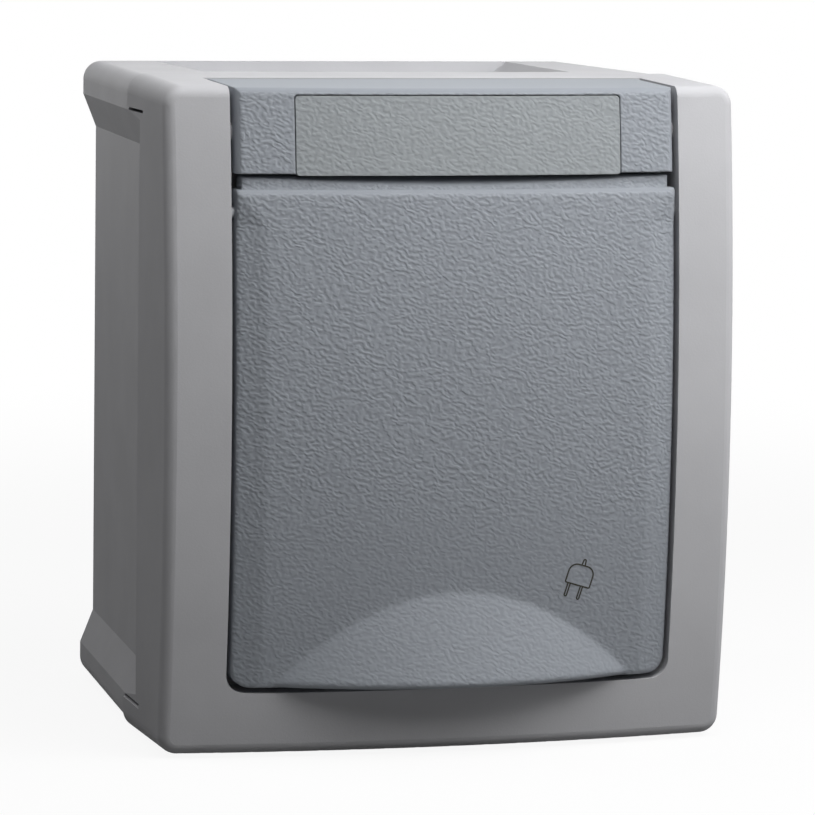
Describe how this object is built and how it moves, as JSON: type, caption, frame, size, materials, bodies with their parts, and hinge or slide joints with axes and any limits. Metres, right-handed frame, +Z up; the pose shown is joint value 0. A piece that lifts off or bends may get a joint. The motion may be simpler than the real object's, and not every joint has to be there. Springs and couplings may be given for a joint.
{
  "type": "outdoor weatherproof socket",
  "caption": "Surface-mounted weatherproof socket outlet: a light grey box and curved frame with a blue-grey sprung lid that lifts up over a round plug well with side earth clips",
  "frame": {"origin": "middle of the back face, on the wall plane", "axes": "+Y points into the wall, the front faces -Y, +Z is up, +X is to the right seen from the front"},
  "size_m": [0.067, 0.0618, 0.0764],
  "materials": {
    "housing": "fine matte moulded plastic",
    "lid": "moulded plastic with a leather-like grain",
    "label": "grained plastic",
    "rubber": "soft rubber",
    "steel": "zinc-plated steel",
    "plated": "nickel-plated strip",
    "brass": "bare brass",
    "carrier": "moulded thermoset"
  },
  "bodies": {
    "housing": {"base_housing": "housing", "front_frame": "housing", "hinge_cover": "lid", "label_plate": "label", "hinge_pin": "steel", "lid_spring": "steel", "socket_insert": "lid", "insert_gasket": "rubber", "insert_screw": "steel", "earth_strap": "plated", "live_contact": "brass", "neutral_contact": "brass", "clamp_plates": "brass", "terminal_screws": "steel", "contact_carrier": "carrier", "carrier_screws": "steel", "cable_grommet": "rubber", "wall_screw_seals": "rubber"},
    "lid": {"flap_lid": "lid", "lid_gasket": "rubber"}
  },
  "joints": [
    {"name": "lid_hinge", "type": "hinge", "parent": "housing", "child": "lid", "pos_m": [0, -0.0547, 0.0237], "axis": [-1, 0, 0], "range_deg": [0, 90], "stiffness_Nm_per_rad": 0.004, "springref_deg": -28.65, "deforming": ["lid_spring"]}
  ]
}
